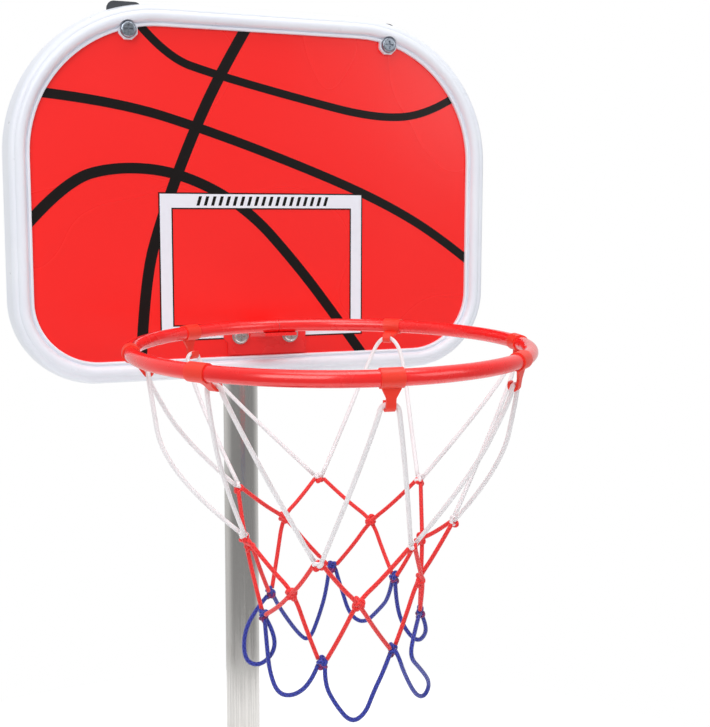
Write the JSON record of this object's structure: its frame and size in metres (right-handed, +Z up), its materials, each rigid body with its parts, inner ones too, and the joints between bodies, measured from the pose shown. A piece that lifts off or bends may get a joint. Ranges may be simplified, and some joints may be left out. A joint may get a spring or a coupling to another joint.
{
  "type": "portable basketball hoop",
  "caption": "Freestanding children's basketball hoop: red rim with cord net on a round-topped backboard, telescoping steel pole and fillable base.",
  "frame": {"origin": "on the floor under the pole's axis", "axes": "+Z up, -Y towards the rim and the players, +X to the right seen from the front"},
  "size_m": [0.412, 0.6114, 1.1882],
  "materials": {
    "base_plastic": "black blow-moulded plastic",
    "seal_rubber": "black rubber",
    "knob_plastic": "black moulded plastic",
    "screw_steel": "zinc-plated steel",
    "lower_pole_paint": "black powder-coated steel",
    "pole_steel": "polished steel tube",
    "bracket_grey": "dark grey painted steel",
    "frame_white": "glossy white plastic",
    "panel_red": "glossy red sheet with a printed white target and black lines",
    "spacer_white": "white plastic",
    "rim_red": "glossy red powder coat",
    "hook_plastic": "orange-red soft plastic",
    "net_white": "white braided cord",
    "net_red": "red braided cord",
    "net_blue": "blue braided cord"
  },
  "bodies": {
    "stand": {"base_tank": "base_plastic", "socket_ring": "base_plastic", "socket_screw": "screw_steel", "lower_pole": "lower_pole_paint", "pole_stop": "screw_steel", "clamp_collar": "base_plastic", "clamp_nut": "screw_steel", "clamp_shoe": "base_plastic"},
    "mast": {"pole_cap": "base_plastic", "pole_foot_bush": "base_plastic", "pole_bolts": "screw_steel", "pole_nuts": "screw_steel", "corner_screws": "screw_steel", "corner_nuts": "screw_steel", "rim_screws": "screw_steel", "rim_screw_washers": "screw_steel", "rim_nuts": "screw_steel", "rim_joint_pin_back": "screw_steel", "rim_joint_pin_front": "screw_steel", "pole_coupler": "screw_steel", "upper_pole": "pole_steel", "upper_pole_lower_length": "pole_steel", "rear_arm_left": "bracket_grey", "rear_arm_right": "bracket_grey", "lower_bracket": "bracket_grey", "backboard_frame": "frame_white", "backboard_panel": "panel_red", "corner_spacers": "spacer_white", "rim_bracket": "rim_red", "rim_left_half": "rim_red", "rim_right_half": "rim_red", "net_hook_1": "hook_plastic", "net_hook_2": "hook_plastic", "net_hook_3": "hook_plastic", "net_hook_4": "hook_plastic", "net_hook_5": "hook_plastic", "net_hook_6": "hook_plastic", "net_hook_7": "hook_plastic", "net_white_loops": "net_white", "net_white_knots": "net_white", "net_red_right_strands": "net_red", "net_red_left_strands": "net_red", "net_red_knots": "net_red", "net_blue_loops": "net_blue", "net_blue_knots": "net_blue"},
    "clamp_knob": {"clamp_knob": "knob_plastic", "clamp_screw": "screw_steel"},
    "fill_cap": {"fill_cap": "base_plastic", "fill_cap_seal": "seal_rubber"}
  },
  "joints": [
    {"name": "height_slide", "type": "slide", "parent": "stand", "child": "mast", "axis": [0, 0, 1], "range_m": [0, 0.25]},
    {"name": "clamp_knob_turn", "type": "hinge", "parent": "stand", "child": "clamp_knob", "pos_m": [0, 0.0375, 0.481], "axis": [0, 1, 0], "range_deg": [0, 540]},
    {"name": "fill_cap_pull", "type": "slide", "parent": "stand", "child": "fill_cap", "axis": [0, 0, 1], "range_m": [0, 0.03]}
  ]
}
